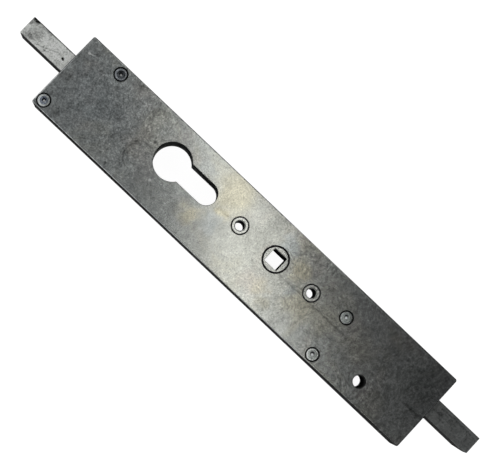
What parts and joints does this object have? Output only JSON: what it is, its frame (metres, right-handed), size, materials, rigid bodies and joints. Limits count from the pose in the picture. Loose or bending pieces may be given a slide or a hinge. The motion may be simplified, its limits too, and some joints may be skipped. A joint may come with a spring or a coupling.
{
  "type": "bi-fold door lock",
  "caption": "Slim lock case for a bi-fold door: the handle's hub drives square bolts out of both ends by pinion and racks, with a profile cylinder keyhole and a deadlock slide.",
  "frame": {"origin": "on the handle spindle's axis, in the plane of the rear face", "axes": "+Z out of the front face along the spindle, +Y along the case towards the cylinder end, +X across the case towards the edge nearer the spindle"},
  "size_m": [0.0397, 0.2693, 0.015],
  "materials": {
    "case_steel": "tumbled bare metal with mottled grey, yellow and blue stains",
    "cover_steel": "tumbled bare metal, as the case",
    "hub_steel": "turned, satin, slightly oiled",
    "bar_steel": "drawn and cut, satin",
    "bolt_steel": "drawn bar, satin, lightly scratched",
    "bush_steel": "turned, satin",
    "screw_steel": "dark oiled socket screw",
    "rivet_steel": "pressed head, satin",
    "slide_steel": "blanked plate, satin",
    "spring_steel": "tempered strip, smooth"
  },
  "bodies": {
    "case": {"case_body": "case_steel", "cover_plate": "cover_steel", "upper_handle_bush": "bush_steel", "lower_handle_bush": "bush_steel", "upper_left_screw": "screw_steel", "upper_right_screw": "screw_steel", "lower_left_rivet": "rivet_steel", "lower_right_rivet": "rivet_steel", "deadlock_spring": "spring_steel", "bar_drag_spring": "spring_steel"},
    "hub": {"drive_hub": "hub_steel"},
    "upper_bolt_bar": {"upper_rack_bar": "bar_steel", "upper_bolt": "bolt_steel", "upper_bolt_rivets": "bar_steel"},
    "lower_bolt_bar": {"lower_rack_bar": "bar_steel", "lower_bolt": "bolt_steel", "lower_bolt_rivets": "bar_steel"},
    "deadlock": {"deadlock_slide": "slide_steel"}
  },
  "joints": [
    {"name": "hub_turn", "type": "hinge", "parent": "case", "child": "hub", "pos_m": [0, 0, 0.0075], "axis": [0, 0, 1], "range_deg": [0, 180]},
    {"name": "upper_bolt_slide", "type": "slide", "parent": "case", "child": "upper_bolt_bar", "axis": [0, 1, 0], "range_m": [-0.02356, 0]},
    {"name": "lower_bolt_slide", "type": "slide", "parent": "case", "child": "lower_bolt_bar", "axis": [0, 1, 0], "range_m": [0, 0.02357]},
    {"name": "deadlock_shift", "type": "slide", "parent": "case", "child": "deadlock", "axis": [0, 1, 0], "range_m": [-0.005, 0], "deforming": ["deadlock_spring"]}
  ],
  "couplings": [
    {"joint": "hub_turn", "follows": "upper_bolt_slide", "rad_per_m": -133.33},
    {"joint": "lower_bolt_slide", "follows": "upper_bolt_slide", "ratio": -1}
  ]
}
